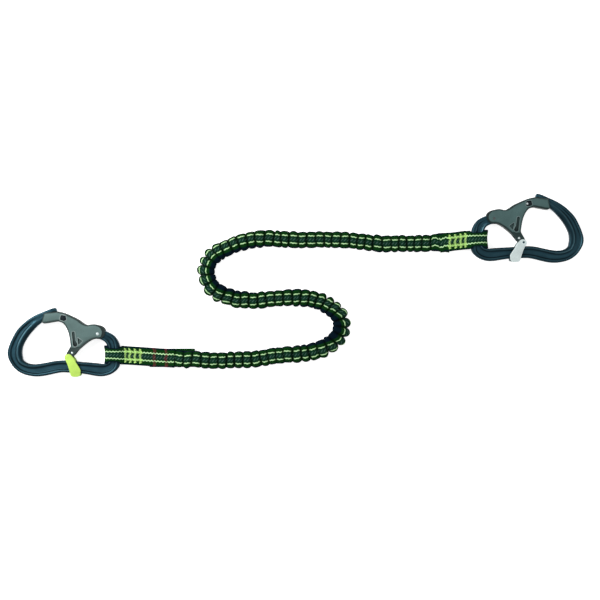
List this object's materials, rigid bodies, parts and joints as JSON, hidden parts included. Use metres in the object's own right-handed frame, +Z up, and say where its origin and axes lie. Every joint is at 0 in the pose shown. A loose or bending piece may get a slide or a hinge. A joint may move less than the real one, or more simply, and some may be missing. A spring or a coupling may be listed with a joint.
{
  "type": "safety tether",
  "caption": "Elastic safety tether of gathered webbing over a stretch core, with a gated, lever-locked snap hook sewn in at each end.",
  "frame": {"origin": "middle of the laid-out tether, on the surface that it lies on", "axes": "+X from the left hook towards the right hook, +Y towards the far run of the S, +Z up off the surface"},
  "size_m": [0.7993, 0.2538, 0.0184],
  "materials": {
    "frame": "dark slate blue anodised, satin",
    "gate": "grey anodised casting, satin",
    "left_lever": "lime anodised, satin",
    "right_lever": "silver anodised, satin",
    "steel": "bright rivet steel",
    "spring": "drawn spring wire",
    "latch": "black",
    "webbing": "dark green-black woven webbing with two pale green tracer stripes",
    "core": "bare elastic cord"
  },
  "bodies": {
    "webbing": {"left_eye": "webbing", "right_eye": "webbing", "overload_fold": "webbing", "right_tail": "webbing", "elastic_webbing": "webbing", "elastic_core": "core"},
    "left_hook": {"left_hook_frame": "frame", "left_pivot_rivet": "steel", "left_gate_spring": "spring"},
    "left_gate_group": {"left_gate": "gate", "left_latch_block": "latch", "left_stem_rivet": "steel", "left_lever_pin_top": "steel", "left_lever_pin_bottom": "steel", "left_lever_spring": "spring"},
    "left_lever_group": {"left_lock_lever": "left_lever"},
    "right_hook": {"right_hook_frame": "frame", "right_pivot_rivet": "steel", "right_gate_spring": "spring"},
    "right_gate_group": {"right_gate": "gate", "right_latch_block": "latch", "right_stem_rivet": "steel", "right_lever_pin_top": "steel", "right_lever_pin_bottom": "steel", "right_lever_spring": "spring"},
    "right_lever_group": {"right_lock_lever": "right_lever"}
  },
  "joints": [
    {"name": "left_hook_swing", "type": "hinge", "parent": "webbing", "child": "left_hook", "pos_m": [-0.25267, -0.09813, 0.0092], "axis": [0, 1, 0], "range_deg": [-90, 90], "deforming": ["left_eye"]},
    {"name": "left_gate_swing", "type": "hinge", "parent": "left_hook", "child": "left_gate_group", "pos_m": [-0.27508, -0.06893, 0.0092], "axis": [0, 0, 1], "range_deg": [0, 18], "stiffness_Nm_per_rad": 0.4, "springref_deg": -25.78, "deforming": ["left_gate_spring"]},
    {"name": "left_lever_press", "type": "hinge", "parent": "left_gate_group", "child": "left_lever_group", "pos_m": [-0.31657, -0.10093, 0.0092], "axis": [0, 0, 1], "range_deg": [0, 6], "stiffness_Nm_per_rad": 0.08, "springref_deg": -20.05},
    {"name": "right_hook_swing", "type": "hinge", "parent": "webbing", "child": "right_hook", "pos_m": [0.25112, 0.06233, 0.0092], "axis": [-0.0244, -0.9997, 0], "range_deg": [-90, 90], "deforming": ["right_eye"]},
    {"name": "right_gate_swing", "type": "hinge", "parent": "right_hook", "child": "right_gate_group", "pos_m": [0.27422, 0.09097, 0.0092], "axis": [0, 0, -1], "range_deg": [0, 18], "stiffness_Nm_per_rad": 0.4, "springref_deg": -25.78, "deforming": ["right_gate_spring"]},
    {"name": "right_lever_press", "type": "hinge", "parent": "right_gate_group", "child": "right_lever_group", "pos_m": [0.31493, 0.05797, 0.0092], "axis": [0, 0, -1], "range_deg": [0, 6], "stiffness_Nm_per_rad": 0.08, "springref_deg": -20.05}
  ]
}
